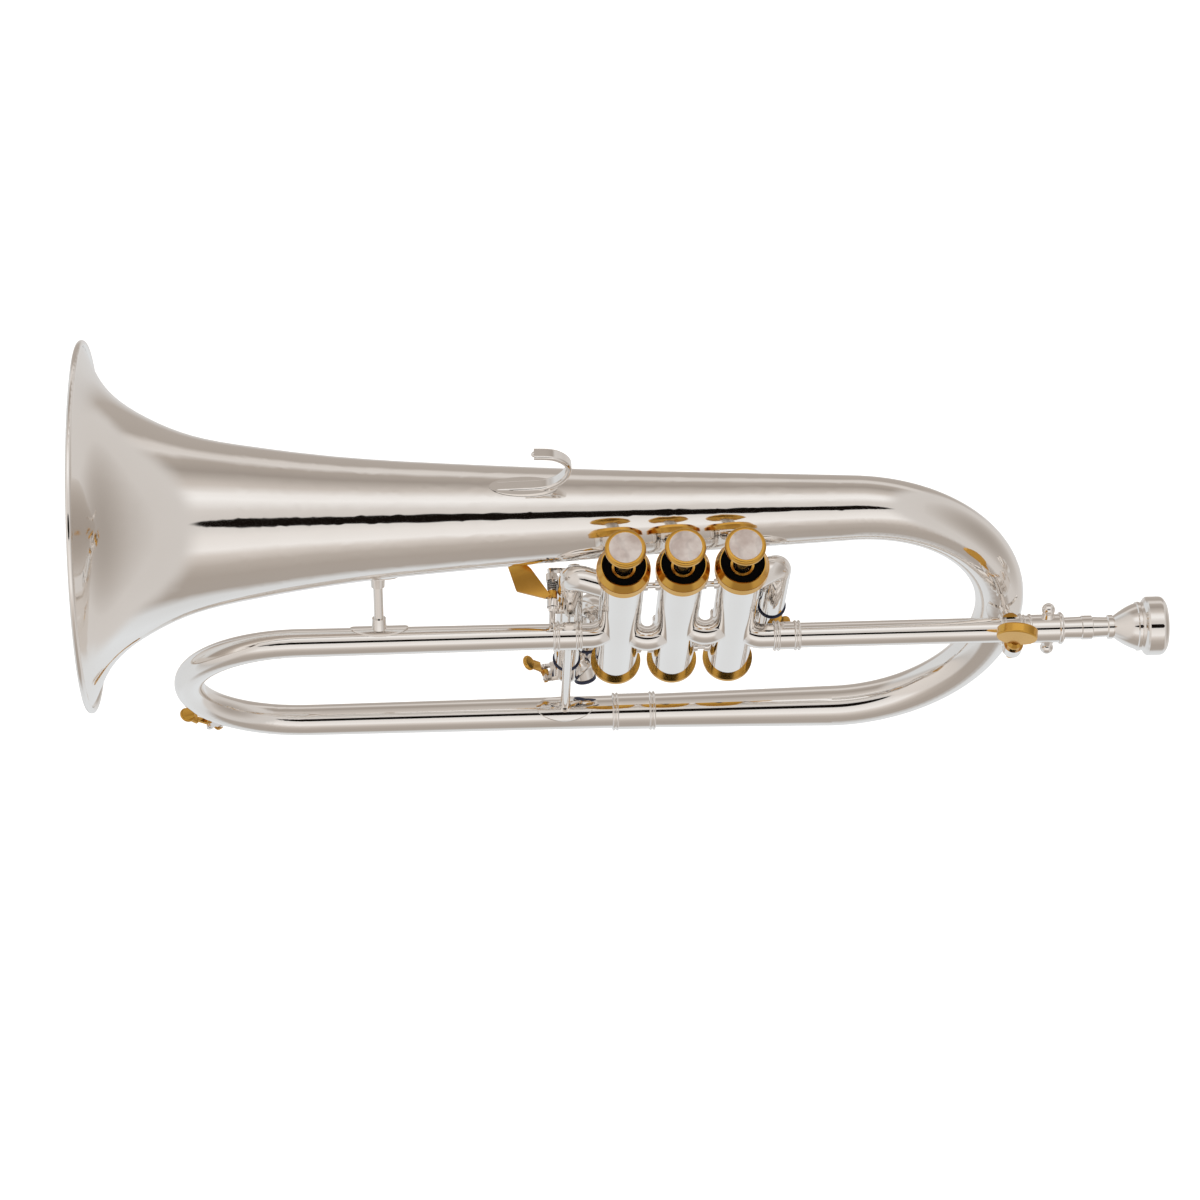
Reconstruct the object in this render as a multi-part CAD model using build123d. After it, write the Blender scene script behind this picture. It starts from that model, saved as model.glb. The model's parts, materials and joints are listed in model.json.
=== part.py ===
from build123d import *
import os
from math import cos, pi, radians, sin, sqrt

# A flugelhorn in playing position.  Millimetres.  The origin is on the axis of
# the middle valve, level with the tubes that enter the valve block.
# +Z runs up the valves to the finger buttons, +X runs towards the player,
# -Y is the player's left and +Y the side that the bell lies on.

# --- valves -----------------------------------------------------------------
VALVE_PITCH = 25.0
VALVE_X = {1: VALVE_PITCH, 2: 0.0, 3: -VALVE_PITCH}
CASING_R = 9.4
CASING_BORE_R = 8.53
CASING_TOP = 57.2
CASING_BOTTOM = -42.6
PISTON_R = 8.5
PISTON_BOTTOM = -22.0
BARREL_FLOOR = 26.0
BARREL_TOP = 56.0
BARREL_BORE_R = 7.0
BARREL_LID = 2.0
STROKE = 16.0
PORT_R = 5.2
PORT_LEVELS = (-13.0, 1.5, 15.5)
GUIDE_Z = 30.0
GUIDE_T = 2.6
GUIDE_LOBE_W = 4.0
STEM_R = 2.7
BUTTON_R = 8.65
BUTTON_Z = 78.4
BUTTON_T = 3.3
PEARL_R = 6.85
PEARL_TOP = 82.5
TOP_CAP_R = 11.5
TOP_CAP_BOTTOM = 54.7
TOP_CAP_SHOULDER = 59.5
TOP_CAP_TOP = 63.3
CAP_MOUTH_R = 9.35
CAP_LIP = 0.4
WEB_T = 1.0
FELT_T = 1.8
HUB_R = 5.0
HUB_BORE_R = 4.0
BOTTOM_CAP_R = 11.1
BOTTOM_CAP_LOW = -44.8
BOTTOM_CAP_HIGH = -42.2
SPIGOT_TOP = -38.0
SPIGOT_R = 8.5

# --- bell ---------------------------------------------------------------------
BELL_Y, BELL_Z = 33.0, 43.0
BELL_END_X = 75.0
BELL_WALL = 0.8
BELL_PROFILE = ((-251.5, 77.3), (-248.2, 69.5), (-244.2, 61.9), (-237.4, 54.2),
                (-226.0, 46.5), (-208.7, 38.7), (-183.0, 32.9), (-150.0, 28.0),
                (-97.0, 23.2), (-33.0, 19.1), (31.0, 16.0), (75.0, 14.0))
RIM_X = -251.3
RIM_RING_R = 78.0
RIM_WIRE_R = 1.4
RIM_FLAT_X = -252.5

# --- main tubing --------------------------------------------------------------
TUBE_Y = -6.0
WALL = 0.6
EXIT_Z = 1.5
BOTTOM_Z = -91.0
FRONT_BOW_X = -163.6
FRONT_BOW_REACH = 51.0
EXIT_R = 5.6
FRONT_BOW_R0, FRONT_BOW_R1 = 6.2, 7.0
BRANCH_R0, BRANCH_R1 = 7.6, 9.2
BIG_BOW_STRETCH = 0.8
EXIT_FERRULE = (-53.9, -41.3)
BOTTOM_FERRULE = (-25.3, -5.6)
LEAD_FERRULE = (42.3, 54.2)
LEAD_Z = -4.5
LEAD_R = 5.5
FERRULE_T = 0.55
BEAD_R = 0.62
ELBOW_R = 5.45
ELBOW_BEND = 7.85
CROSSOVERS = ((-VALVE_PITCH / 2, -3.7), (VALVE_PITCH / 2, 1.7))

# --- mouthpipe and mouthpiece ---------------------------------------------------
SLEEVE = (141.8, 151.4)
SLEEVE_R = 6.4
PIPE_R = 4.85
PIPE_INNER_END = 108.0
COLLAR = (151.7, 155.3)
COLLAR_R = 6.05
RECEIVER_END = 169.7
RECEIVER_R = 6.25
SHANK_START = 152.0
SHANK_R0, SHANK_R1 = 4.25, 4.7
MOUTHPIECE_END = 214.9
CUP_RIM_R = 12.9
FIT = 0.04
KNOB_X = 163.0
KNOB_R = 2.9
CLAMP_XY = (146.3, -15.6)
CLAMP_R = 4.2
CLAMP_BOTTOM = -10.2
CLAMP_TOP = 2.4
SCREW_R = 2.2
SCREW_HEAD_R = 8.85
SCREW_HEAD_T = 4.4
SCREW_HEAD_Z = 14.2

# --- valve slides ---------------------------------------------------------------
SLIDE_OUT_R = 5.6
SLIDE_BORE_R = 5.05
SLIDE_IN_R = 5.0
SLIDE_WALL = 0.5
RING_R = 6.3
RING_T = 2.0
THIRD_A = (-46.3, 7.3)
THIRD_B = (-36.6, 15.6)
THIRD_TOP_A, THIRD_TOP_B = 37.0, -12.0
THIRD_RING_Z = -58.5
THIRD_BOW_Z = -70.0
FIRST_A = (42.8, 9.5)
FIRST_B = (33.0, 17.8)
FIRST_TOP_A, FIRST_TOP_B = 38.0, 8.0
FIRST_RING_Z = -8.0
FIRST_BOW_Z = -20.0
BUMPER_ANGLE = 120
BUMPER_FROM = 8.4
BUMPER_R = 5.1
SECOND_X = 0.0
SECOND_Z = (-8.0, -23.0)
SECOND_RING_Y = 24.0
SECOND_BOW_Y = 28.0

# --- trigger ----------------------------------------------------------------------
TRIGGER_X, TRIGGER_Z = -54.2, 20.0
TRIGGER_Y = (1.5, 13.7)
TRIGGER_PIN_R = 1.2
CRANK_ARM = 10.5
CRANK_TILT = -5.0
CRANK_TURN = 20.0
CRANK_Y = 16.6
CRANK_T = 1.2
CRANK_PIN_R = 0.9
PUSH_ROD_Y = 18.9
PUSH_ROD_R = 0.9

# --- water keys -------------------------------------------------------------------
KEY_PIVOT = 4.0
KEY_SEAT = 2.2
KEY_CORK_T = 1.4
KEY_CORK_X = -5.2
KEY_PIN_R = 0.7
FRONT_KEY_TURN = 43
FRONT_KEY_THUMB = (12.5, 0.8)
THIRD_KEY_THUMB = (14.0, 7.6)


def at(x, y, z):
    """Location at a point."""
    return Location((x, y, z))


def rod(start, end, radius, end_radius=None):
    """Round bar or cone between two points."""
    start, end = Vector(*start), Vector(*end)
    axis = end - start
    plane = Plane(origin=start, z_dir=axis)
    low = (Align.CENTER, Align.CENTER, Align.MIN)
    if end_radius is None or end_radius == radius:
        return plane * Cylinder(radius, axis.length, align=low)
    return plane * Cone(radius, end_radius, axis.length, align=low)


def tube(start, end, radius, bore, end_radius=None, end_bore=None):
    """Straight or tapered tube between two points."""
    return rod(start, end, radius, end_radius) - rod(start, end, bore, end_bore)


def pipe(path, radius):
    """Round bar along a path of lines and arcs."""
    return sweep(Plane(origin=path @ 0, z_dir=path % 0) * Circle(radius), path=path)


def bead(x, radius, minor=BEAD_R):
    """Ring of round wire about the X axis."""
    return Plane(origin=(x, 0, 0), z_dir=(1, 0, 0)) * Torus(radius, minor)


def bow_loft(centre, to_start, travel, bend_radius, radius_at, steps=12, reach=None):
    """Half turn of round section, radius_at(0..1); reach is how far it swings out."""
    reach = bend_radius if reach is None else reach
    to_start, travel = Vector(*to_start).normalized(), Vector(*travel).normalized()
    side = to_start.cross(travel)
    sections = []
    for i in range(steps + 1):
        angle = pi * i / steps
        point = Vector(*centre) + to_start * cos(angle) * bend_radius + travel * sin(angle) * reach
        heading = travel * cos(angle) * reach - to_start * sin(angle) * bend_radius
        plane = Plane(origin=point, x_dir=side, z_dir=heading)
        sections.append(plane * Circle(radius_at(i / steps)))
    return loft(sections)


def offset_profile(points, wall):
    """Profile moved inwards by the wall, square to the curve at each point."""
    moved = []
    for i, (x, r) in enumerate(points):
        ahead = points[min(i + 1, len(points) - 1)]
        behind = points[max(i - 1, 0)]
        dx, dr = ahead[0] - behind[0], ahead[1] - behind[1]
        length = sqrt(dx * dx + dr * dr)
        moved.append((x + wall * dr / length, r - wall * dx / length))
    return moved


# --- bell and main tubing ---------------------------------------------------------
def bell_rim_wire():
    centre = at(RIM_X, BELL_Y, BELL_Z)
    ring = centre * Rotation(0, 90, 0) * Torus(RIM_RING_R, RIM_WIRE_R)
    trim = at(RIM_FLAT_X - 5, BELL_Y, BELL_Z) * Box(10, 200, 200)
    return ring - trim


def bell():
    outer = [(x, r) for x, r in BELL_PROFILE]
    inner = offset_profile(BELL_PROFILE, BELL_WALL)
    outer_line = Spline(*[(x, r, 0) for x, r in outer])
    inner_line = Spline(*[(x, r, 0) for x, r in inner])
    front = Line(outer_line @ 0, inner_line @ 0)
    back = Line(outer_line @ 1, inner_line @ 1)
    face = make_face(outer_line + back + inner_line + front)
    shell = revolve(face, axis=Axis.X)
    return at(0, BELL_Y, BELL_Z) * shell - bell_rim_wire()


def big_bow_frame():
    """Centre, direction to the start and radius of the bow behind the valves."""
    start = Vector(BELL_END_X, TUBE_Y, BOTTOM_Z)
    end = Vector(BELL_END_X, BELL_Y, BELL_Z)
    return (start + end) * 0.5, start - end, (end - start).length / 2


def big_bow_radius(t, wall=0.0):
    """Outside radius of the big bow from its lower end, 0, to the bell, 1."""
    return BRANCH_R1 + (BELL_PROFILE[-1][1] - BRANCH_R1) * t ** 1.9 - wall


def big_bow_curve(wall=0.0):
    """The half turn of the big bow as a solid, less a wall."""
    centre, to_start, radius = big_bow_frame()
    return bow_loft(centre, to_start, (1, 0, 0), radius, lambda t: big_bow_radius(t, wall),
                    reach=radius + BIG_BOW_STRETCH)


def bell_bow():
    mid_x = sum(BOTTOM_FERRULE) / 2
    low, high = (mid_x, TUBE_Y, BOTTOM_Z), (BELL_END_X, TUBE_Y, BOTTOM_Z)
    outer = rod(low, high, BRANCH_R0, BRANCH_R1) + big_bow_curve()
    inner = rod(low, high, BRANCH_R0 - BELL_WALL, BRANCH_R1 - BELL_WALL) + big_bow_curve(BELL_WALL)
    return outer - inner


def front_bow_solid(wall=0.0):
    """Exit tube, front bow and bottom tube as one bar, less a wall."""
    centre = (FRONT_BOW_X, TUBE_Y, (EXIT_Z + BOTTOM_Z) / 2)
    radius = (EXIT_Z - BOTTOM_Z) / 2
    exit_x = sum(EXIT_FERRULE) / 2
    low_x = sum(BOTTOM_FERRULE) / 2
    growth = FRONT_BOW_R1 - FRONT_BOW_R0
    top = rod((exit_x, TUBE_Y, EXIT_Z), (FRONT_BOW_X, TUBE_Y, EXIT_Z), EXIT_R - wall, FRONT_BOW_R0 - wall)
    curve = bow_loft(centre, (0, 0, 1), (-1, 0, 0), radius,
                     lambda t: FRONT_BOW_R0 + growth * t - wall, reach=FRONT_BOW_REACH)
    low = rod((FRONT_BOW_X, TUBE_Y, BOTTOM_Z), (low_x, TUBE_Y, BOTTOM_Z),
              FRONT_BOW_R1 - wall, BRANCH_R0 - wall)
    return top + curve + low


def front_bow():
    return front_bow_solid() - front_bow_solid(WALL)


def ferrule(span, z, r0, r1):
    """Sleeve with a bead near each end, over a tube that may taper."""
    x0, x1 = span
    sleeve = rod((x0, 0, 0), (x1, 0, 0), r0 + FERRULE_T, r1 + FERRULE_T)
    inset = 1.6
    for gap in (BEAD_R, inset + BEAD_R):
        sleeve += bead(x0 + gap, r0 + FERRULE_T) + bead(x1 - gap, r1 + FERRULE_T)
    core = rod((x0 - 1, 0, 0), (x1 + 1, 0, 0), r0, r1)
    return at(0, TUBE_Y, z) * (sleeve - core)


def ferrules():
    parts = [ferrule(EXIT_FERRULE, EXIT_Z, EXIT_R + 0.06, EXIT_R + 0.02),
             ferrule(BOTTOM_FERRULE, BOTTOM_Z, BRANCH_R0 + 0.03, BRANCH_R0 + 0.2),
             ferrule(LEAD_FERRULE, LEAD_Z, LEAD_R + 0.02, LEAD_R + 0.02)]
    return Compound(children=parts)


def casing_posts(radius=CASING_R):
    """Solid bars in the place of the three casings."""
    posts = None
    for x in VALVE_X.values():
        post = rod((x, 0, BOTTOM_CAP_LOW - 1), (x, 0, CASING_TOP), radius)
        posts = post if posts is None else posts + post
    return posts


def elbow_path(valve_x, side, far_x, z):
    """From a straight tube along X round into the side of a casing."""
    leg_x = valve_x + side * 4.65
    bend_x = leg_x + side * ELBOW_BEND
    bend_y = TUBE_Y + ELBOW_BEND
    k = ELBOW_BEND * (1 - sin(pi / 4))
    arc = ThreePointArc((bend_x, TUBE_Y, z), (leg_x + side * k, TUBE_Y + k, z), (leg_x, bend_y, z))
    straight = Line((far_x, TUBE_Y, z), (bend_x, TUBE_Y, z))
    return straight + arc + Line((leg_x, bend_y, z), (leg_x, bend_y + 2, z))


def crossover_path(mid_x, z):
    left, right = mid_x - ELBOW_BEND, mid_x + ELBOW_BEND
    bend_y = TUBE_Y + ELBOW_BEND
    arc = ThreePointArc((left, bend_y, z), (mid_x, TUBE_Y, z), (right, bend_y, z))
    start = Line((left, bend_y + 2, z), (left, bend_y, z))
    return start + arc + Line((right, bend_y, z), (right, bend_y + 2, z))


def elbow_paths():
    exit_x = sum(EXIT_FERRULE) / 2
    lead_x = sum(LEAD_FERRULE) / 2
    return [elbow_path(VALVE_X[3], -1, exit_x, EXIT_Z), elbow_path(VALVE_X[1], 1, lead_x, LEAD_Z)]


def valve_elbows():
    posts = casing_posts()
    parts = [pipe(path, ELBOW_R) - pipe(path, ELBOW_R - WALL) - posts for path in elbow_paths()]
    return Compound(children=[largest(part) for part in parts])


def crossover_tubes():
    posts = casing_posts()
    parts = []
    for mid_x, z in CROSSOVERS:
        path = crossover_path(mid_x, z)
        parts.append(largest(pipe(path, ELBOW_R) - pipe(path, ELBOW_R - WALL) - posts))
    return Compound(children=parts)


def largest(shape):
    """The biggest solid of a cut shape."""
    return max(shape.solids(), key=lambda solid: solid.volume)


def lead_pipe():
    return tube((sum(LEAD_FERRULE) / 2, TUBE_Y, LEAD_Z), (SLEEVE[0] + 3, TUBE_Y, LEAD_Z),
                LEAD_R, PIPE_R + FIT)


def tuning_sleeve():
    """Split collar at the end of the lead pipe that grips the sliding mouthpipe."""
    x0, x1 = SLEEVE
    core_r = PIPE_R + FIT
    sleeve = rod((x0, 0, 0), (x1, 0, 0), SLEEVE_R) + bead(x0 + BEAD_R, SLEEVE_R)
    sleeve += bead(x1 - BEAD_R, SLEEVE_R) + bead(x0 + 2.2, SLEEVE_R, 0.4)
    sleeve -= rod((x0 - 1, 0, 0), (x0 + 3, 0, 0), LEAD_R)
    sleeve -= rod((x0 - 1, 0, 0), (x1 + 1, 0, 0), core_r)
    return at(0, TUBE_Y, LEAD_Z) * sleeve


def tuning_clamp():
    """Barrel beside the sleeve, split across and threaded for the thumb screw."""
    x, y = CLAMP_XY
    barrel = rod((x, y, CLAMP_BOTTOM), (x, y, CLAMP_TOP), CLAMP_R)
    barrel = fillet(barrel.edges().sort_by(Axis.Z)[0], 1.2)
    barrel -= rod((x, y, CLAMP_BOTTOM + 0.8), (x, y, CLAMP_TOP + 1), SCREW_R)
    web = at(x, (y + TUBE_Y) / 2, LEAD_Z - 1.0) * Box(6.0, 6.0, 5.0)
    barrel += web - rod((x, y, CLAMP_BOTTOM), (x, y, CLAMP_TOP), CLAMP_R - 0.5)
    slot = at(x, y - 1.0, (CLAMP_BOTTOM + CLAMP_TOP) / 2) * Box(12.0, 9.0, 0.7)
    sleeve = rod((x - 10, TUBE_Y, LEAD_Z), (x + 10, TUBE_Y, LEAD_Z), SLEEVE_R + BEAD_R)
    return largest(barrel - slot - sleeve)


def tuning_screw():
    """Thumb screw: a thick coin standing on edge, a neck and a threaded shank."""
    x, y = CLAMP_XY
    coin = fillet(Cylinder(SCREW_HEAD_R, SCREW_HEAD_T).edges(), 0.7)
    head = Plane(origin=(x, y, SCREW_HEAD_Z), z_dir=(-0.15, -1, -0.06)) * coin
    seat = CLAMP_TOP + 0.1
    neck = rod((x, y, seat), (x, y, seat + 2.6), 3.5) + rod((x, y, seat + 2.6), (x, y, 7.0), 3.5, 2.4)
    shank = rod((x, y, CLAMP_BOTTOM + 1.1), (x, y, seat + 1), SCREW_R - FIT)
    return head + neck + shank


def mouthpipe():
    """Sliding inner pipe with the receiver and its two little grip knobs."""
    y, z = TUBE_Y, LEAD_Z
    body = rod((PIPE_INNER_END, 0, 0), (COLLAR[0] + 1, 0, 0), PIPE_R)
    body += rod((COLLAR[0], 0, 0), (COLLAR[1], 0, 0), COLLAR_R)
    body += bead(COLLAR[1] - 0.3, COLLAR_R + 0.1) + bead(COLLAR[0] + 0.7, COLLAR_R, 0.45)
    body += rod((COLLAR[1], 0, 0), (RECEIVER_END, 0, 0), RECEIVER_R)
    body += bead(RECEIVER_END - 1.2, RECEIVER_R, 0.9)
    for side in (-1, 1):
        direction = Vector(0, side * sin(radians(42)), side * cos(radians(42)))
        base = direction * (RECEIVER_R - 0.8) + Vector(KNOB_X, 0, 0)
        neck = direction * (RECEIVER_R + 1.2) + Vector(KNOB_X, 0, 0)
        ball = direction * (RECEIVER_R + KNOB_R) + Vector(KNOB_X, 0, 0)
        body += rod(base, neck, 3.1, 2.5)
        body += at(ball.X, ball.Y, ball.Z) * Sphere(KNOB_R)
    bore = SHANK_R0 - 0.25
    body -= rod((PIPE_INNER_END - 1, 0, 0), (SHANK_START, 0, 0), bore)
    slope = (SHANK_R1 - SHANK_R0) / (RECEIVER_END - SHANK_START)
    body -= rod((SHANK_START - 1, 0, 0), (RECEIVER_END + 1, 0, 0),
                SHANK_R0 + FIT - slope, SHANK_R1 + FIT + slope)
    return at(0, y, z) * body


def mouthpiece():
    """Tapered shank, turned rings, cup and rounded rim, bored through."""
    turned = ((SHANK_START, 3.6), (SHANK_START, SHANK_R0), (RECEIVER_END, SHANK_R1),
              (177.6, 4.9), (177.9, 5.3), (182.2, 5.3), (182.6, 4.6), (189.0, 4.3),
              (189.4, 5.3), (191.4, 5.3), (191.8, 4.75))
    ring = ((201.6, 10.2), (202.0, 10.8), (203.2, 10.8), (203.7, 10.4), (204.6, 10.8),
            (205.6, 12.3), (206.4, CUP_RIM_R), (211.8, CUP_RIM_R))
    lip = ((211.8, CUP_RIM_R), (214.4, 11.3), (MOUTHPIECE_END, 10.2), (214.2, 8.9), (212.2, 8.2))
    cup = ((212.2, 8.2), (205.0, 5.4), (197.5, 2.2))
    outline = Polyline(*turned)
    outline += Spline((191.8, 4.75), (195.0, 7.0), (201.6, 10.2), tangents=[(1, 0.75), (1, 0.3)])
    outline += Polyline(*ring)
    outline += Spline(*lip, tangents=[(1, 0), (-1, -0.15)])
    outline += Spline(*cup, tangents=[(-1, -0.2), (-1, -0.3)])
    outline += Line((197.5, 2.2), (SHANK_START, 3.6))
    return at(0, TUBE_Y, LEAD_Z) * revolve(make_face(outline), axis=Axis.X)


# --- valves ------------------------------------------------------------------------
def port_bores():
    """Bores of every tube that enters a casing, to open its ports."""
    bores = [pipe(path, ELBOW_R - WALL) for path in elbow_paths()]
    bores += [pipe(crossover_path(x, z), ELBOW_R - WALL) for x, z in CROSSOVERS]
    return bores


def valve_casing(number):
    x = VALVE_X[number]
    casing = tube((x, 0, CASING_BOTTOM), (x, 0, CASING_TOP), CASING_R, CASING_BORE_R)
    for bore in port_bores():
        casing -= bore
    for side in (-1, 1):
        casing -= at(x, side * 8.8, CASING_TOP) * Box(GUIDE_LOBE_W, 1.0, 1.0)
    return largest(casing)


def top_cap(number):
    x = VALVE_X[number]
    web_top = CASING_TOP + WEB_T
    cap = rod((x, 0, TOP_CAP_BOTTOM), (x, 0, TOP_CAP_SHOULDER), TOP_CAP_R)
    cap = chamfer(cap.edges().sort_by(Axis.Z)[0], 0.4)
    cap += rod((x, 0, TOP_CAP_SHOULDER), (x, 0, TOP_CAP_TOP), TOP_CAP_R - 0.15, CAP_MOUTH_R + CAP_LIP)
    cap -= rod((x, 0, web_top), (x, 0, TOP_CAP_TOP + 1), CAP_MOUTH_R)
    cap -= rod((x, 0, TOP_CAP_BOTTOM - 1), (x, 0, CASING_TOP), CASING_R)
    cap -= rod((x, 0, CASING_TOP - 1), (x, 0, web_top + 1), STEM_R + 0.3)
    hub = tube((x, 0, web_top), (x, 0, web_top + FELT_T + 0.8), HUB_R, HUB_BORE_R)
    return cap + hub


def bottom_cap(number):
    x = VALVE_X[number]
    cap = rod((x, 0, BOTTOM_CAP_LOW), (x, 0, BOTTOM_CAP_HIGH), BOTTOM_CAP_R)
    cap = fillet(cap.edges().sort_by(Axis.Z)[0], 0.9)
    cap -= rod((x, 0, CASING_BOTTOM), (x, 0, BOTTOM_CAP_HIGH + 1), CASING_R)
    cap += tube((x, 0, CASING_BOTTOM), (x, 0, SPIGOT_TOP), SPIGOT_R, SPIGOT_R - 1.0)
    return cap - rod((x, 0, BOTTOM_CAP_LOW - 1), (x, 0, BOTTOM_CAP_HIGH), 1.6)


def cap_felts():
    """Black felt ring in each top cap, and a small washer within its hub."""
    low = CASING_TOP + WEB_T
    felts = []
    for x in VALVE_X.values():
        felts.append(tube((x, 0, low), (x, 0, low + FELT_T), CAP_MOUTH_R - 0.02, HUB_R + 0.02))
        felts.append(tube((x, 0, low), (x, 0, low + 1.0), HUB_BORE_R - 0.02, STEM_R + 0.3))
    return Compound(children=felts)


def valve_guides():
    """Keyed discs that pass through slots in the spring barrels."""
    guides = []
    for x in VALVE_X.values():
        disc = rod((x, 0, GUIDE_Z), (x, 0, GUIDE_Z + GUIDE_T), BARREL_BORE_R - 0.3)
        lobes = at(x, 0, GUIDE_Z + GUIDE_T / 2) * Box(GUIDE_LOBE_W, 2 * CASING_BORE_R + 2, GUIDE_T)
        body = disc + (lobes & rod((x, 0, GUIDE_Z - 1), (x, 0, GUIDE_Z + GUIDE_T + 1), CASING_BORE_R))
        guides.append(body - rod((x, 0, GUIDE_Z - 1), (x, 0, GUIDE_Z + GUIDE_T + 1), 1.5))
    return Compound(children=guides)


def piston(number):
    """Piston with three cross passages, spring barrel, lid and stem."""
    x = VALVE_X[number]
    body = rod((x, 0, PISTON_BOTTOM), (x, 0, BARREL_TOP), PISTON_R)
    body -= rod((x, 0, BARREL_FLOOR), (x, 0, BARREL_TOP - BARREL_LID), BARREL_BORE_R)
    slot_low, slot_high = GUIDE_Z - 0.4, GUIDE_Z + GUIDE_T + STROKE + 0.4
    slot = at(x, 0, (slot_low + slot_high) / 2) * Box(GUIDE_LOBE_W + 0.4, 40, slot_high - slot_low)
    body -= slot
    for i, level in enumerate(PORT_LEVELS):
        angle = radians(60 * i - 30)
        reach = Vector(cos(angle), sin(angle), 0) * 12
        body -= rod((x - reach.X, -reach.Y, level - 2), (x + reach.X, reach.Y, level + 2), PORT_R)
    stem = rod((x, 0, BARREL_TOP), (x, 0, BUTTON_Z), STEM_R)
    return body + stem


def finger_button(number):
    """Shallow gold dish on a short flange, holding the pearl."""
    x = VALVE_X[number]
    dish = rod((x, 0, BUTTON_Z), (x, 0, BUTTON_Z + BUTTON_T), BUTTON_R)
    dish = fillet(dish.edges(), 1.3)
    dish -= rod((x, 0, BUTTON_Z + 1.4), (x, 0, BUTTON_Z + 9), PEARL_R + 0.02)
    neck = rod((x, 0, BUTTON_Z - 2.4), (x, 0, BUTTON_Z), STEM_R, 4.2)
    return dish + neck - rod((x, 0, BUTTON_Z - 9), (x, 0, BUTTON_Z), STEM_R)


def button_pearl(number):
    """Slightly crowned disc of mother of pearl."""
    x = VALVE_X[number]
    low = BUTTON_Z + 1.4
    crown_r = 40.0
    disc = rod((x, 0, low), (x, 0, PEARL_TOP), PEARL_R)
    return disc & (at(x, 0, PEARL_TOP - crown_r) * Sphere(crown_r))


def coil(radius, wire, height, turns):
    """Helical spring standing on the origin."""
    pitch = height / turns
    path = Helix(pitch, height, radius)
    return sweep(Plane(origin=path @ 0, z_dir=path % 0) * Circle(wire), path=path)


def valve_spring(number):
    wire = 0.35
    low = GUIDE_Z + GUIDE_T + wire + 0.2
    height = BARREL_TOP - BARREL_LID - wire - 0.2 - low
    return at(VALVE_X[number], 0, low) * coil(5.4, wire, height, 6)


def casing_braces():
    """Short struts between neighbouring casings, above and below the crossovers."""
    posts = casing_posts()
    struts = []
    for mid_x in (-VALVE_PITCH / 2, VALVE_PITCH / 2):
        for z in (-29.0, 41.0):
            strut = rod((mid_x - 5, 0, z), (mid_x + 5, 0, z), 1.3)
            for side in (-1, 1):
                strut += rod((mid_x + side * 1.6, 0, z), (mid_x + side * 5, 0, z), 2.2, 2.6)
            struts.append(largest(strut - posts))
    return Compound(children=struts)


# --- valve slides --------------------------------------------------------------------
def boot_path(valve_x, port_z, leg, top_z):
    """From a casing's wall, over a bend, down to the top of a vertical leg."""
    x, y = leg
    away = Vector(x - valve_x, y, 0)
    inward = away.normalized()
    start = Vector(valve_x, 0, port_z) + inward * (CASING_R - 3.0)
    corner = Vector(x, y, port_z)
    bend = 6.2
    first = corner - inward * bend
    last = corner - Vector(0, 0, bend)
    k = bend * (1 - sin(pi / 4))
    middle = corner - inward * k - Vector(0, 0, k)
    return Line(start, first) + ThreePointArc(first, middle, last) + Line(last, Vector(x, y, top_z))


def slide_leg(valve_x, port_z, leg, top_z, end_z):
    """Outer slide tube: boot from the casing and a straight leg below it."""
    x, y = leg
    path = boot_path(valve_x, port_z, leg, top_z)
    outer = pipe(path, SLIDE_OUT_R) + rod((x, y, top_z), (x, y, end_z), SLIDE_OUT_R)
    inner = pipe(path, SLIDE_OUT_R - WALL) + rod((x, y, top_z), (x, y, end_z), SLIDE_BORE_R)
    return largest(outer - inner - casing_posts())


def ring(x, y, z):
    """Rubber ring at the end of an outer slide tube."""
    band = Cylinder(RING_R - 0.5, RING_T) + Torus(RING_R - 0.9, 0.9)
    return at(x, y, z + RING_T / 2) * (band - Cylinder(SLIDE_BORE_R + 0.1, RING_T * 2))


def vertical_slide(leg_a, leg_b, top_a, top_b, bow_z, depth):
    """Inner slide: two inner tubes and a bow whose ends are as wide as the outer tubes."""
    a, b = Vector(*leg_a, bow_z), Vector(*leg_b, bow_z)
    centre = (a + b) * 0.5
    half = (b - a).length / 2
    solids = []
    for r_bow, r_in in ((SLIDE_OUT_R, SLIDE_IN_R), (SLIDE_OUT_R - WALL, SLIDE_IN_R - SLIDE_WALL)):
        body = bow_loft(centre, (a - b), (0, 0, -1), half, lambda t: r_bow, 8)
        for point, top in ((a, top_a), (b, top_b)):
            body += rod(point, (point.X, point.Y, bow_z + depth), r_bow)
            body += rod((point.X, point.Y, bow_z), (point.X, point.Y, top), r_in)
        solids.append(body)
    return largest(solids[0] - solids[1])


def third_slide_outer():
    upper = slide_leg(VALVE_X[3], THIRD_TOP_A, THIRD_A, THIRD_TOP_A - 7, THIRD_RING_Z + RING_T)
    lower = slide_leg(VALVE_X[3], THIRD_TOP_B, THIRD_B, THIRD_TOP_B - 7, THIRD_RING_Z + RING_T)
    return Compound(children=[upper, lower])


def third_bow_solid():
    """The third slide's bow as a bar."""
    a, b = Vector(*THIRD_A, THIRD_BOW_Z), Vector(*THIRD_B, THIRD_BOW_Z)
    return bow_loft((a + b) * 0.5, a - b, (0, 0, -1), (b - a).length / 2, lambda t: SLIDE_OUT_R, 8)


def third_slide():
    depth = THIRD_RING_Z - THIRD_BOW_Z - 0.3
    slide = vertical_slide(THIRD_A, THIRD_B, -14.0, -30.0, THIRD_BOW_Z, depth)
    return slide + (bumper_cup() - third_bow_solid())


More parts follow.
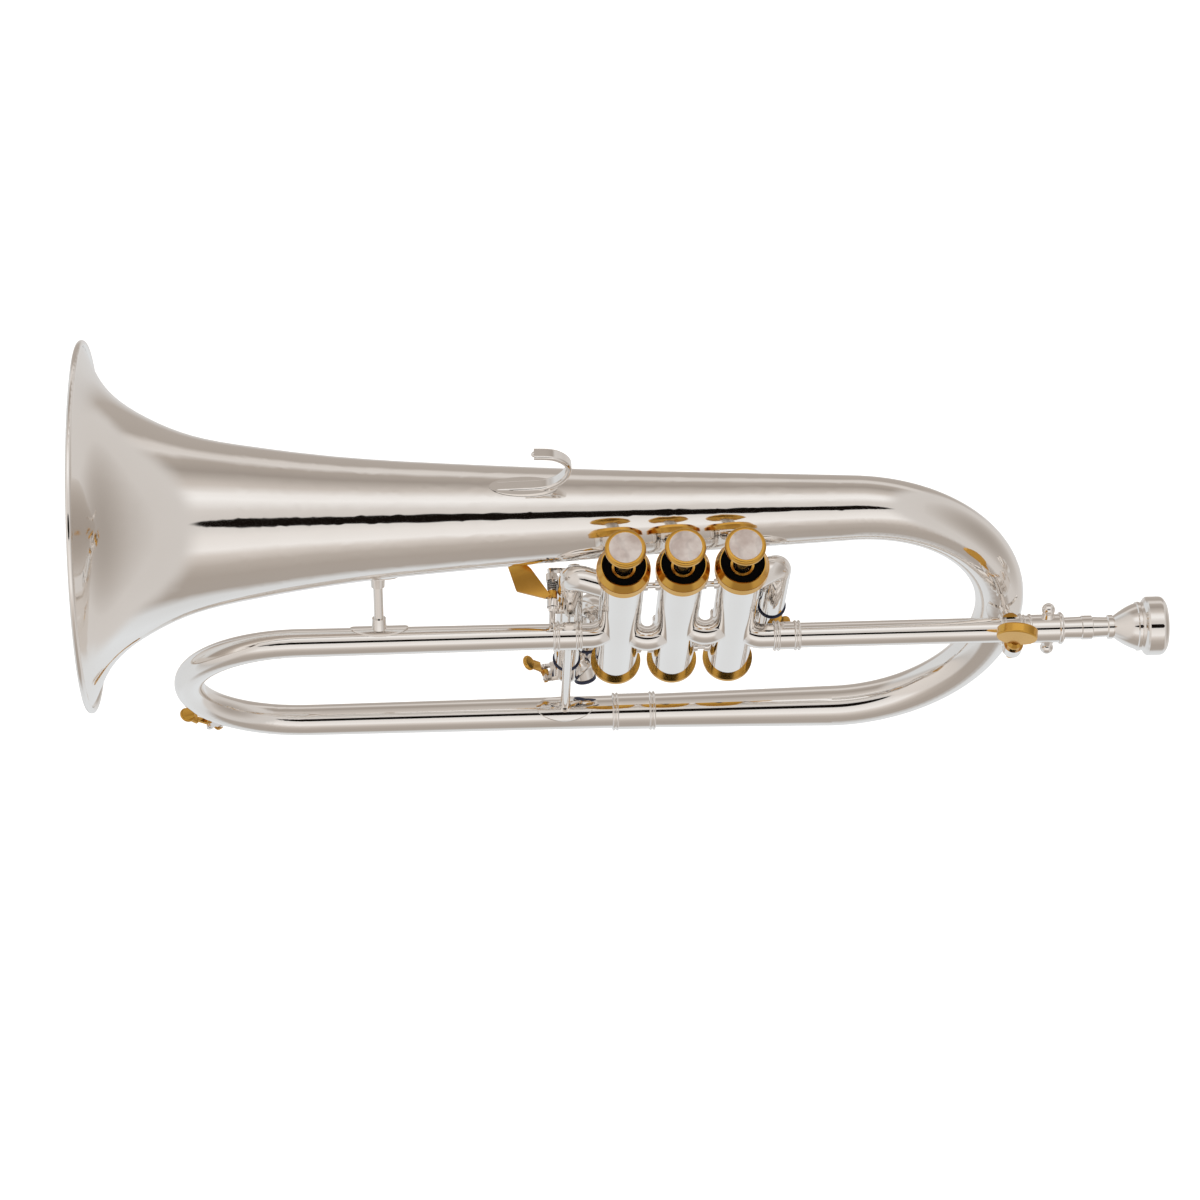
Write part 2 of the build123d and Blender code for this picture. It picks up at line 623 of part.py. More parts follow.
def first_slide_outer():
    upper = slide_leg(VALVE_X[1], FIRST_TOP_A, FIRST_A, FIRST_TOP_A - 7, FIRST_RING_Z + RING_T)
    lower = slide_leg(VALVE_X[1], FIRST_TOP_B, FIRST_B, FIRST_TOP_B - 7, FIRST_RING_Z + RING_T)
    return Compound(children=[upper, lower])


def first_slide():
    depth = FIRST_RING_Z - FIRST_BOW_Z - 0.3
    return vertical_slide(FIRST_A, FIRST_B, 14.0, -1.0, FIRST_BOW_Z, depth)


def second_slide_outer():
    """Two short tubes from the back of the middle casing."""
    legs = []
    for z in SECOND_Z:
        leg = tube((SECOND_X, 5, z), (SECOND_X, SECOND_RING_Y, z), SLIDE_OUT_R, SLIDE_BORE_R)
        legs.append(largest(leg - rod((SECOND_X, 0, z - 20), (SECOND_X, 0, z + 20), CASING_R)))
    return Compound(children=legs)


def second_slide():
    z0, z1 = SECOND_Z
    half = (z0 - z1) / 2
    centre = (SECOND_X, SECOND_BOW_Y, (z0 + z1) / 2)
    solids = []
    for r_bow, r_in in ((SLIDE_OUT_R, SLIDE_IN_R), (SLIDE_OUT_R - WALL, SLIDE_IN_R - SLIDE_WALL)):
        body = bow_loft(centre, (0, 0, 1), (0, 1, 0), half, lambda t: r_bow, 8)
        for z in SECOND_Z:
            body += rod((SECOND_X, SECOND_RING_Y + 0.3, z), (SECOND_X, SECOND_BOW_Y, z), r_bow)
            body += rod((SECOND_X, 12, z), (SECOND_X, SECOND_BOW_Y, z), r_in)
        solids.append(body)
    return largest(solids[0] - solids[1])


def slide_rings():
    rings = [ring(*THIRD_A, THIRD_RING_Z), ring(*THIRD_B, THIRD_RING_Z),
             ring(*FIRST_A, FIRST_RING_Z), ring(*FIRST_B, FIRST_RING_Z)]
    return Compound(children=rings)


def first_slide_tab():
    """Finger tab soldered to the first slide's ferrule, reaching towards the player."""
    x, y = FIRST_A
    z = FIRST_BOW_Z + 5.0
    arm = at(x + 3.4, y - SLIDE_OUT_R + 0.4, z) * Rotation(0, 0, 14) * Box(10.4, 4.4, 1.8)
    arm = fillet(arm.edges().filter_by(Axis.Z), 2.0)
    return largest(arm - rod((x, y, z - 9), (x, y, z + 9), SLIDE_OUT_R))


def bumper_place():
    """Point on the third slide's bow and the direction that its bumper faces."""
    a, b = Vector(*THIRD_A, THIRD_BOW_Z), Vector(*THIRD_B, THIRD_BOW_Z)
    half = (b - a).length / 2
    angle = radians(BUMPER_ANGLE)
    spine = (a + b) * 0.5 + (a - b).normalized() * cos(angle) * half - Vector(0, 0, sin(angle) * half)
    return spine, Vector(0.18, -0.62, -0.76).normalized()


def third_slide_bumper():
    """Rubber pad in a cup, which keeps the third slide's bow off the bottom tube."""
    spine, outward = bumper_place()
    return rod(spine + outward * BUMPER_FROM, spine + outward * (BUMPER_FROM + 1.6), BUMPER_R)


def bumper_cup():
    spine, outward = bumper_place()
    return rod(spine + outward * 2, spine + outward * BUMPER_FROM, BUMPER_R - 0.3)


# --- third slide trigger ---------------------------------------------------------------
def trigger_mount():
    """Two posts that carry the trigger's shaft, each footed on the slide's outer tube."""
    x, z = TRIGGER_X, TRIGGER_Z
    near_y, far_y = TRIGGER_Y
    leg = rod((*THIRD_A, -10), (*THIRD_A, 60), SLIDE_OUT_R)
    posts = []
    for y, inward in ((near_y, 2.0), (far_y, -2.0)):
        post = rod((x, y - 1.6, z), (x, y + 1.6, z), 2.5)
        post += at(x + 1.6, y, z - 4.0) * Box(2.6, 2.2, 8.0)
        post += at(x + 2.6, y + inward, z - 8.2) * Box(5.4, 5.4, 2.4)
        if y == near_y:
            post += rod((x, y, z - 2.0), (x, TUBE_Y + 3.6, EXIT_Z + 3.0), 1.4)
        post -= rod((x, y - 3, z), (x, y + 3, z), TRIGGER_PIN_R + FIT)
        posts.append(largest(post - leg - exit_ferrule_core()))
    return Compound(children=posts)


def exit_ferrule_core():
    """Bar a little wider than the exit ferrule and its beads."""
    x0, x1 = EXIT_FERRULE
    return rod((x0 - 12, TUBE_Y, EXIT_Z), (x1 + 2, TUBE_Y, EXIT_Z), EXIT_R + FERRULE_T + BEAD_R + 0.1)


def crank_pin_place(turn):
    """Centre of the crank's pin after the trigger has turned by some degrees."""
    angle = radians(CRANK_TILT - turn)
    return TRIGGER_X + CRANK_ARM * cos(angle), TRIGGER_Z + CRANK_ARM * sin(angle)


def third_trigger():
    """Finger paddle, the shaft it turns with, and a crank behind the far post."""
    x, z = TRIGGER_X, TRIGGER_Z
    near_y, far_y = TRIGGER_Y
    hub_y = 5.6
    hub = rod((x, 4.0, z), (x, 7.2, z), 2.2)
    outline = Polyline((-0.4, -0.9), (-8.6, 12.6), (-10.4, 14.6), (-19.0, 15.4), (-15.5, 3.0),
                       (-2.6, -2.1), close=True)
    plate = extrude(make_face(outline), amount=1.5)
    plate = fillet(plate.edges().filter_by(Axis.Z), 0.4)
    plate = Plane(origin=(x, hub_y, z + 1.2), x_dir=(1, 0, 0.25), z_dir=(-0.25, 0, 1)) * plate
    shaft = rod((x, near_y - 2.0, z), (x, CRANK_Y + CRANK_T, z), TRIGGER_PIN_R)
    shaft += rod((x, near_y - 3.0, z), (x, near_y - 1.7, z), 1.9)
    pin_x, pin_z = crank_pin_place(0.0)
    middle = ((x + pin_x) / 2, CRANK_Y, (z + pin_z) / 2)
    arm = Plane(origin=middle, x_dir=(pin_x - x, 0, pin_z - z), z_dir=(0, 1, 0))
    crank = extrude(arm * SlotCenterToCenter(CRANK_ARM, 3.4), amount=CRANK_T)
    pin = rod((pin_x, CRANK_Y, pin_z), (pin_x, PUSH_ROD_Y + 1.3, pin_z), CRANK_PIN_R)
    return hub + plate + shaft + crank + pin


def trigger_spring():
    """Torsion coil round the shaft, between the hub and the far post."""
    return Plane(origin=(TRIGGER_X, 8.0, TRIGGER_Z), z_dir=(0, 1, 0)) * coil(1.75, 0.35, 3.6, 4)


def trigger_rod():
    """Push rod from the slide's bow up to a slotted eye on the crank's pin."""
    start_x, top = crank_pin_place(0.0)
    end_x = crank_pin_place(CRANK_TURN)[0]
    x, y = (start_x + end_x) / 2, PUSH_ROD_Y
    low = THIRD_BOW_Z + 6.0
    slot_w, slot_h = abs(start_x - end_x) + 2 * CRANK_PIN_R + 0.3, 2 * CRANK_PIN_R + 0.2
    eye = SlotOverall(slot_w + 2.4, slot_h + 2.4) - SlotOverall(slot_w, slot_h)
    eye = at(x, y, top) * Rotation(90, 0, 0) * extrude(eye, amount=0.7, both=True)
    bar = rod((x, y, low), (x, y, top - slot_h / 2 - 0.6), PUSH_ROD_R)
    foot = rod((x, y, low), (*THIRD_B, low), 1.2)
    leg = rod((*THIRD_B, low - 9), (*THIRD_B, low + 9), SLIDE_OUT_R)
    knuckle = at(x, y, low) * Sphere(1.3)
    return largest(bar + eye + foot + knuckle - leg)


# --- water keys --------------------------------------------------------------------------
def key_saddle():
    """Nipple, two pivot ears and pin, in key space: tube along x, outside at z=0."""
    nipple = rod((KEY_CORK_X, 0, -4.6), (KEY_CORK_X, 0, KEY_SEAT), 2.4)
    ears = at(0.2, 0, -0.3) * Box(5.0, 7.4, 3.6)
    for side in (-1, 1):
        ears += at(0, side * 2.9, 2.4) * Box(2.6, 1.4, 3.6)
        ears += rod((0, side * 2.9 - 0.7, KEY_PIVOT), (0, side * 2.9 + 0.7, KEY_PIVOT), 1.5)
    ears -= at(0, 0, KEY_PIVOT) * Box(9.0, 4.4, 5.0)
    ears += rod((0, -3.9, KEY_PIVOT), (0, 3.9, KEY_PIVOT), KEY_PIN_R)
    strap = at(-3.0, 0, -0.3) * Box(5.0, 3.0, 2.2)
    bore = rod((KEY_CORK_X, 0, -9), (KEY_CORK_X, 0, 9), 1.3)
    return nipple + strap + ears - bore


def key_lever(thumb):
    """Cork cup, hub on the pin and a rounded thumb piece; thumb is (along, out from pivot)."""
    reach, out = thumb
    cup_z = KEY_SEAT + KEY_CORK_T
    tip_z = KEY_PIVOT + out
    lever = rod((KEY_CORK_X, 0, cup_z - 0.5), (KEY_CORK_X, 0, cup_z + 1.0), 2.8)
    lever -= rod((KEY_CORK_X, 0, cup_z - 0.9), (KEY_CORK_X, 0, cup_z), 2.4)
    lever += rod((0, -0.9, KEY_PIVOT), (0, 0.9, KEY_PIVOT), 1.6)
    bend = reach * 0.55
    bend_z = KEY_PIVOT + 0.5 + out * 0.2
    spine = Polyline((KEY_CORK_X - 1, cup_z + 0.1), (0, KEY_PIVOT + 0.4), (bend, bend_z),
                     (reach, tip_z - 0.6), (reach, tip_z + 0.6), (bend, bend_z + 1.3),
                     (0, KEY_PIVOT + 1.6), (KEY_CORK_X - 1, cup_z + 1.1), close=True)
    blade = extrude(Plane.XZ * make_face(spine), amount=1.0, both=True)
    tail = at(reach * 0.75, 0, KEY_PIVOT) * Box(reach * 0.5, 4.4, 40)
    wide_blade = extrude(Plane.XZ * make_face(spine), amount=2.2, both=True)
    lever += blade + (wide_blade & tail)
    pad = Plane(origin=(reach, 0, tip_z), z_dir=(-0.3 - out * 0.08, 0, 1)) * Cylinder(3.5, 1.8)
    lever += fillet(pad.edges(), 0.8)
    return lever - rod((0, -5, KEY_PIVOT), (0, 5, KEY_PIVOT), KEY_PIN_R + 0.05)


def key_cork():
    return rod((KEY_CORK_X, 0, KEY_SEAT + 0.02), (KEY_CORK_X, 0, KEY_SEAT + KEY_CORK_T), 2.38)


def key_spring():
    """Small torsion coil beside the hub."""
    return Plane(origin=(0, 1.4, KEY_PIVOT), z_dir=(0, 1, 0)) * coil(1.2, 0.18, 0.5, 1)


def front_key_plane():
    """Seat of the water key on the outer, lower side of the front bow."""
    angle = radians(FRONT_KEY_TURN)
    outward = Vector(-cos(angle), 0, -sin(angle))
    normal = (outward + Vector(0, -0.2, 0)).normalized()
    radius = (EXIT_Z - BOTTOM_Z) / 2
    tube_r = FRONT_BOW_R0 + (FRONT_BOW_R1 - FRONT_BOW_R0) * 0.75
    spine = Vector(FRONT_BOW_X - FRONT_BOW_REACH * cos(angle), TUBE_Y,
                   (EXIT_Z + BOTTOM_Z) / 2 - radius * sin(angle))
    along = Vector(-sin(angle) * FRONT_BOW_REACH, 0, cos(angle) * radius)
    along = (along - normal * along.dot(normal)).normalized()
    return Plane(origin=spine + normal * tube_r, x_dir=along, z_dir=normal)


def third_key_plane():
    """Seat of the water key on the front side of the third slide's lower end."""
    normal = Vector(-1, -0.12, 0).normalized()
    point = Vector(*THIRD_A, THIRD_BOW_Z - 0.5) + normal * SLIDE_OUT_R
    return Plane(origin=point, x_dir=(0, 0, 1), z_dir=normal)


def front_key_saddle():
    return largest(front_key_plane() * key_saddle() - front_bow_solid())


def third_key_saddle():
    leg = rod((*THIRD_A, THIRD_BOW_Z), (*THIRD_A, THIRD_BOW_Z + 30), SLIDE_OUT_R)
    return largest(third_key_plane() * key_saddle() - third_bow_solid() - leg)


# --- braces and hook -----------------------------------------------------------------------
def saddle(position, axis_dir, tube_r, length, width, outward, thickness=0.7):
    """Oval plate bent over a tube of radius tube_r whose axis passes through position."""
    outward = Vector(*outward).normalized()
    plane = Plane(origin=Vector(*position), x_dir=Vector(*axis_dir), z_dir=outward)
    plate = extrude(plane * Ellipse(length / 2, width / 2), amount=tube_r + 3)
    shell = rod((Vector(*position) - Vector(*axis_dir) * 60),
                (Vector(*position) + Vector(*axis_dir) * 60), tube_r + thickness)
    core = rod((Vector(*position) - Vector(*axis_dir) * 60),
               (Vector(*position) + Vector(*axis_dir) * 60), tube_r)
    return (plate & shell) - core


def bell_radius(x):
    """Outside radius of the bell tube between the points of its profile."""
    for (x0, r0), (x1, r1) in zip(BELL_PROFILE, BELL_PROFILE[1:]):
        if x0 <= x <= x1:
            return r0 + (r1 - r0) * (x - x0) / (x1 - x0)
    return BELL_PROFILE[-1][1]


def bell_core(x, gap=0.0):
    """Bar in the place of the bell tube for 30 mm either side of x."""
    low, high = x - 30, x + 30
    return rod((low, BELL_Y, BELL_Z), (high, BELL_Y, BELL_Z), bell_radius(low) + gap, bell_radius(high) + gap)


def front_brace():
    """Strut from the exit tube up to the bell."""
    x = -129.0
    tube_r = EXIT_R + (FRONT_BOW_R0 - EXIT_R) * 0.68
    low = Vector(x, TUBE_Y, EXIT_Z)
    high = Vector(x, BELL_Y, BELL_Z)
    direction = (high - low).normalized()
    bell_r = bell_radius(x)
    foot, head = low + direction * tube_r, high - direction * bell_r
    strut = rod(foot, head, 2.1)
    strut += rod(foot, (foot + direction * 5.0), 3.3, 3.0)
    strut += rod((head - direction * 5.0), head, 3.0, 3.3)
    strut += saddle(low, (1, 0, 0), tube_r, 25.0, 9.0, direction)
    strut += saddle(high, (1, 0, 0), bell_r, 18.0, 11.0, (direction * -1), 0.5)
    return largest(strut - bell_core(x) - front_bow_solid())


def lower_brace():
    """Strut from the exit ferrule down to the bottom tube."""
    x = -47.0
    tube_r = FRONT_BOW_R1 + (BRANCH_R0 - FRONT_BOW_R1) * 0.8
    top = EXIT_Z - EXIT_R - FERRULE_T
    strut = rod((x, TUBE_Y, BOTTOM_Z + 2), (x, TUBE_Y, top + 2), 2.1)
    strut += rod((x, TUBE_Y, BOTTOM_Z + 2), (x, TUBE_Y, BOTTOM_Z + tube_r + 3), 3.2, 2.5)
    strut += saddle((x, TUBE_Y, BOTTOM_Z), (1, 0, 0), tube_r, 26.0, 12.0, (0, 0, 1))
    strut -= rod((x - 20, TUBE_Y, EXIT_Z), (x + 20, TUBE_Y, EXIT_Z), EXIT_R + FERRULE_T + 0.09)
    return largest(strut - front_bow_solid())


def bow_brace():
    """Flared strut from the tuning sleeve to a wide saddle on the big bow."""
    centre, to_start, radius = big_bow_frame()
    turn = radians(94)
    unit = to_start.normalized()
    seat = centre + unit * cos(turn) * radius + Vector(1, 0, 0) * sin(turn) * (radius + BIG_BOW_STRETCH)
    heading = Vector(1, 0, 0) * cos(turn) - unit * sin(turn)
    tube_r = big_bow_radius(turn / pi)
    foot = Vector(146.0, TUBE_Y + 2.0, LEAD_Z + SLEEVE_R - 1.5)
    direction = (seat - foot).normalized()
    strut = rod(foot, (seat - direction * (tube_r - 1)), 2.2)
    strut += rod(foot, (foot + direction * 8.5), 3.9, 2.4)
    strut += rod((seat - direction * (tube_r + 3)), (seat - direction * (tube_r - 1)), 2.4, 3.0)
    plate_plane = Plane(origin=seat, x_dir=heading, z_dir=direction * -1)
    plate = extrude(plate_plane * Ellipse(9.5, 7.5), amount=tube_r + 3)
    strut += plate & big_bow_curve(-0.7)
    strut -= big_bow_curve()
    sleeve = rod((SLEEVE[0] - 5, TUBE_Y, LEAD_Z), (SLEEVE[1], TUBE_Y, LEAD_Z), SLEEVE_R + BEAD_R)
    return largest(strut - sleeve)


def braces():
    return Compound(children=[front_brace(), lower_brace(), bow_brace()])


def pinky_hook():
    """Leaf-shaped foot on top of the bell tube and a strip that curls up and forward."""
    lean = radians(11)
    x_mid = -60.0
    tube_r = bell_radius(x_mid)
    up = Vector(0, sin(lean), cos(lean))
    base = Vector(x_mid, BELL_Y, BELL_Z)
    sideways = Vector(0, cos(lean), -sin(lean))
    frame = Plane(origin=base + up * tube_r, x_dir=(1, 0, 0), z_dir=sideways * -1)
    strip_t = 2.4
    spine = Spline((-17.0, 0.3), (-6.0, 0.7), (5.0, 2.2), (11.8, 9.0), (12.6, 16.6), (7.6, 22.0),
                   (-1.7, 23.5), tangents=[(1, 0, 0), (-1, 0.05, 0)])
    wide = frame * spine
    section = Plane(origin=wide @ 0, x_dir=sideways, z_dir=wide % 0) * RectangleRounded(5.4, strip_t, 1.1)
    strip = sweep(section, path=wide)
    tip = Location(wide @ 1) * Sphere(1.2)
    strip += tip
    plane = Plane(origin=base, x_dir=(1, 0, 0), z_dir=up)
    leaf = extrude(plane * Pos(-6.0, 0) * Ellipse(14.5, 4.6), amount=tube_r + 1.4)
    flat = Plane(origin=base, x_dir=(1, 0, 0), z_dir=(0, -0.02, 1))
    leaf += extrude(flat * Pos(3.6, -5.4) * RectangleRounded(19.0, 4.4, 2.1), amount=tube_r + 0.7)
    return largest(leaf + strip - bell_core(x_mid, 0.02))


def build():
    """Every node by name."""
    single = (bell, bell_rim_wire, bell_bow, front_bow, ferrules, valve_elbows, crossover_tubes, lead_pipe,
              tuning_sleeve, tuning_clamp, tuning_screw, mouthpipe, mouthpiece, cap_felts, valve_guides,
              casing_braces, third_slide_outer, third_slide, third_slide_bumper, slide_rings,
              first_slide_outer, first_slide, first_slide_tab, second_slide_outer, second_slide,
              trigger_mount, third_trigger, trigger_spring, trigger_rod, braces, pinky_hook,
              front_key_saddle, third_key_saddle)
    per_valve = (valve_casing, top_cap, bottom_cap, piston, finger_button, button_pearl, valve_spring)
    nodes = {make.__name__: make() for make in single}
    for number in VALVE_X:
        for make in per_valve:
            nodes[f"{make.__name__}_{number}"] = make(number)
    keys = (("front", front_key_plane(), FRONT_KEY_THUMB), ("third", third_key_plane(), THIRD_KEY_THUMB))
    for name, plane, thumb in keys:
        nodes[f"{name}_key_lever"] = plane * key_lever(thumb)
        nodes[f"{name}_key_cork"] = plane * key_cork()
        nodes[f"{name}_key_spring"] = plane * key_spring()
    return nodes


os.makedirs("parts", exist_ok=True)
for node, shape in build().items():
    export_step(shape, f"parts/{node}.step")
    print(node, "ok")
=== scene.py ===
import json
from math import hypot, radians

import bmesh
import bpy
from mathutils import Matrix, Vector

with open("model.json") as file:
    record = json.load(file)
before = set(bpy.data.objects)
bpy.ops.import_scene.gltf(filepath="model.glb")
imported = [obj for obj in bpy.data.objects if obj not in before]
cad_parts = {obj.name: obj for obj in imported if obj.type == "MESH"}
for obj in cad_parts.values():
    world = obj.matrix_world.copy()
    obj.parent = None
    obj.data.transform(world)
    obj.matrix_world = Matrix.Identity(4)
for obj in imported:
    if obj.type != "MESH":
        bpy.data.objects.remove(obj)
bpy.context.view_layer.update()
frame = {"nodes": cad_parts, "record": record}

# The camera's own axes and place, in metres; the camera looks against BACK.
RIGHT = Vector((0.99874, -0.04078, 0.02932))
UP = Vector((0.02615, 0.92060, 0.38963))
BACK = Vector((-0.04288, -0.38837, 0.92050))
CAMERA_AT = Vector((-0.1004, -0.6016, 1.4525))
LENS_MM = 108.45
SENSOR_MM = 36.0
FLOOR_Z = -0.55
FLOOR_HALF = 12.0
DOME_R = 9.0

# Light round the horn by angle about its long axis, from the camera's side (0) over the bell's
# side (+) or under the horn (-) to the far side (180): (degrees, light, warmth).
STUDIO = (
    (-180, 0.74, -0.1), (-145, 0.80, -0.3), (-122, 0.74, -0.2), (-108, 0.38, 0.9), (-82, 0.38, 1.0),
    (-62, 0.46, 0.9), (-48, 0.66, 0.6), (-38, 0.90, 0.2), (-20, 0.82, 0.3), (-9, 0.72, 0.3),
    (8, 0.64, 0.4), (18, 0.68, 0.4), (34, 0.94, 0.1), (44, 0.88, 0.2), (56, 0.58, 0.7),
    (78, 0.33, 1.0), (94, 0.40, 1.0), (103, 0.70, 0.4), (112, 0.66, 0.5), (120, 0.40, 0.9),
    (150, 0.42, 0.9), (165, 0.66, 0.2), (180, 0.70, 0.1),
)
WARM = (1.12, 1.0, 0.90)
# The lamps end this far along the horn's axis, as a cosine, and give way to cards: round the
# bell's end by angle, as above, and beyond the player's end by cosine.
SIDE_FROM, SIDE_TO = 0.42, 0.60
BELL_CARDS = (
    (-180, 0.72, -0.2), (-104, 0.74, -0.2), (-84, 0.56, 0.3), (-70, 0.64, 0.5), (-30, 0.70, 0.5),
    (0, 0.72, 0.5), (30, 0.70, 0.5), (70, 0.62, 0.5), (84, 0.54, 0.3), (104, 0.74, -0.2),
    (180, 0.72, -0.2),
)
PLAYER_CARDS = ((0.4, 0.66, 0.3), (0.75, 0.62, 0.4), (0.9, 0.46, 0.7), (1.0, 0.36, 0.9))
# Black flag in front of the horn: its middle and half width in degrees, and its half length as a cosine.
FLAG_MIDDLE, FLAG_WIDTH, FLAG_LENGTH = -1.0, 8.6, 0.52
FLAG_BLACK = (0.006, 0.004, 0.003)


class Graph:
    """Short names for building a node tree."""

    def __init__(self, tree):
        self.tree = tree
        tree.nodes.clear()

    def add(self, kind, inputs=None, **settings):
        node = self.tree.nodes.new(kind)
        for key, value in settings.items():
            setattr(node, key, value)
        for key, value in (inputs or {}).items():
            if isinstance(value, bpy.types.NodeSocket):
                self.tree.links.new(value, node.inputs[key])
            else:
                node.inputs[key].default_value = value
        return node

    def math(self, operation, a, b=0.0):
        return self.add("ShaderNodeMath", {0: a, 1: b}, operation=operation).outputs[0]

    def ramp(self, factor, stops):
        node = self.add("ShaderNodeValToRGB", {"Fac": factor})
        elements = node.color_ramp.elements
        (elements[0].position, first), (elements[1].position, last) = stops[0], stops[-1]
        elements[0].color, elements[1].color = (*first, 1.0), (*last, 1.0)
        for place, colour in stops[1:-1]:
            elements.new(place).color = (*colour, 1.0)
        return node.outputs["Color"]

    def noise(self, place, scale, detail=3.0, roughness=0.5):
        return self.add("ShaderNodeTexNoise", {"Vector": place, "Scale": scale, "Detail": detail,
                                               "Roughness": roughness}).outputs["Fac"]

    def place(self, stretch=(1, 1, 1)):
        coords = self.add("ShaderNodeTexCoord").outputs["Object"]
        return self.add("ShaderNodeMapping", {"Vector": coords, "Scale": stretch}).outputs["Vector"]

    def span(self, value, low, high):
        return self.add("ShaderNodeMapRange", {"Value": value, "To Min": low, "To Max": high}).outputs[0]

    def smooth(self, value, low, high):
        return self.add("ShaderNodeMapRange", {"Value": value, "From Min": low, "From Max": high},
                        interpolation_type="SMOOTHSTEP").outputs[0]

    def mix(self, factor, a, b, blend_type="MIX"):
        return self.add("ShaderNodeMix", {"Factor": factor, 6: a, 7: b}, data_type="RGBA",
                        blend_type=blend_type).outputs[2]

    def bump(self, height, strength, distance):
        return self.add("ShaderNodeBump", {"Height": height, "Strength": strength,
                                           "Distance": distance}).outputs["Normal"]


def grey(level):
    return (level, level, level)


def material(name):
    mat = bpy.data.materials.new(name)
    mat.use_nodes = True
    return mat, Graph(mat.node_tree)


def close(graph, **inputs):
    """Principled surface and output; names with _ for spaces."""
    inputs = {key.replace("_", " "): value for key, value in inputs.items()}
    shader = graph.add("ShaderNodeBsdfPrincipled", inputs)
    graph.add("ShaderNodeOutputMaterial", {"Surface": shader.outputs[0]})


def silver():
    """Polished plate: faint polishing lines and slow waves in the surface."""
    mat, g = material("silver_plate")
    waves = g.noise(g.place(), 22.0, 2.0)
    lines = g.noise(g.place((30, 900, 900)), 6.0, 4.0, 0.6)
    tone = g.ramp(waves, [(0.3, (0.90, 0.868, 0.835)), (0.7, (0.93, 0.902, 0.872))])
    close(g, Base_Color=tone, Metallic=1.0, Roughness=g.span(lines, 0.045, 0.085),
          Normal=g.bump(waves, 0.008, 0.0010))
    return mat


def gold():
    """Satin gold plate with fine turning marks."""
    mat, g = material("gold_plate")
    cloud = g.noise(g.place(), 60.0, 2.0)
    lines = g.noise(g.place((20, 20, 1800)), 1.0, 2.0, 0.5)
    tone = g.ramp(cloud, [(0.25, (0.66, 0.36, 0.062)), (0.75, (0.76, 0.43, 0.095))])
    close(g, Base_Color=tone, Metallic=1.0, Roughness=g.span(lines, 0.13, 0.20),
          Normal=g.bump(lines, 0.02, 0.0001))
    return mat


def pearl():
    """Grey and rose clouds with fine curved veins."""
    mat, g = material("pearl")
    where = g.place()
    cloud = g.noise(where, 150.0, 3.0, 0.5)
    warped = g.add("ShaderNodeVectorMath", {0: where, 1: (0.004, 0.003, 0.002)}, operation="ADD").outputs[0]
    veins = g.add("ShaderNodeTexWave", {"Vector": warped, "Scale": 45.0, "Distortion": 7.0, "Detail": 3.0,
                                        "Detail Scale": 2.2}, wave_type="BANDS").outputs["Fac"]
    base = g.ramp(cloud, [(0.35, (0.68, 0.57, 0.52)), (0.5, (0.81, 0.71, 0.66)), (0.65, (0.93, 0.85, 0.80))])
    vein = g.ramp(veins, [(0.0, grey(0.90)), (0.25, grey(1.0)), (1.0, grey(1.0))])
    close(g, Base_Color=g.mix(1.0, base, vein, "MULTIPLY"), Roughness=0.12, Coat_Weight=0.6,
          Coat_Roughness=0.05, Normal=g.bump(cloud, 0.08, 0.0002))
    return mat


def felt():
    """Black wool: dull, with a fuzzy surface."""
    mat, g = material("felt")
    fuzz = g.noise(g.place(), 2600.0, 5.0, 0.7)
    tone = g.ramp(fuzz, [(0.3, grey(0.002)), (0.8, (0.008, 0.008, 0.010))])
    close(g, Base_Color=tone, Roughness=1.0, Specular_IOR_Level=0.1, Normal=g.bump(fuzz, 0.9, 0.0006))
    return mat


def rubber():
    """Dark blue rubber with a fine grain."""
    mat, g = material("navy_rubber")
    grain = g.noise(g.place(), 1400.0, 3.0)
    tone = g.ramp(grain, [(0.3, (0.008, 0.012, 0.040)), (0.8, (0.020, 0.030, 0.085))])
    close(g, Base_Color=tone, Roughness=0.42, Normal=g.bump(grain, 0.25, 0.0002))
    return mat


def cork():
    """Pressed cork: brown cells with dark seams."""
    mat, g = material("cork")
    cells = g.add("ShaderNodeTexVoronoi", {"Vector": g.place(), "Scale": 1700.0}).outputs["Distance"]
    tone = g.ramp(cells, [(0.0, (0.50, 0.30, 0.15)), (0.6, (0.62, 0.42, 0.24)), (0.9, (0.24, 0.13, 0.06))])
    close(g, Base_Color=tone, Roughness=0.85, Normal=g.bump(cells, 0.6, 0.0003))
    return mat


def ground_metal(name, low, high, rough):
    """Metal with fine lines round a vertical axis."""
    mat, g = material(name)
    lines = g.noise(g.place((60, 60, 5200)), 3.0, 4.0, 0.65)
    tone = g.ramp(lines, [(0.3, low), (0.7, high)])
    close(g, Base_Color=tone, Metallic=1.0, Roughness=g.span(lines, rough - 0.06, rough + 0.08),
          Normal=g.bump(lines, 0.2, 0.0002))
    return mat


def nylon():
    """Off-white nylon with a faint grain."""
    mat, g = material("guide_nylon")
    grain = g.noise(g.place(), 700.0, 3.0)
    tone = g.ramp(grain, [(0.3, (0.74, 0.73, 0.69)), (0.7, (0.82, 0.81, 0.77))])
    close(g, Base_Color=tone, Roughness=0.5, Normal=g.bump(grain, 0.1, 0.0002))
    return mat


LOOKS = {
    "silver_plate": silver(), "gold_plate": gold(), "pearl": pearl(), "felt": felt(),
    "navy_rubber": rubber(), "cork": cork(), "guide_nylon": nylon(),
    "piston_metal": ground_metal("piston_metal", (0.58, 0.56, 0.53), (0.68, 0.66, 0.63), 0.25),
    "spring_steel": ground_metal("spring_steel", (0.30, 0.29, 0.28), (0.42, 0.41, 0.40), 0.30),
}


def joint_anchor(name):
    joints = frame["record"]["behaviour"]["joints"]
    return Vector(next(joint["pos_m"] for joint in joints if joint["name"] == name))


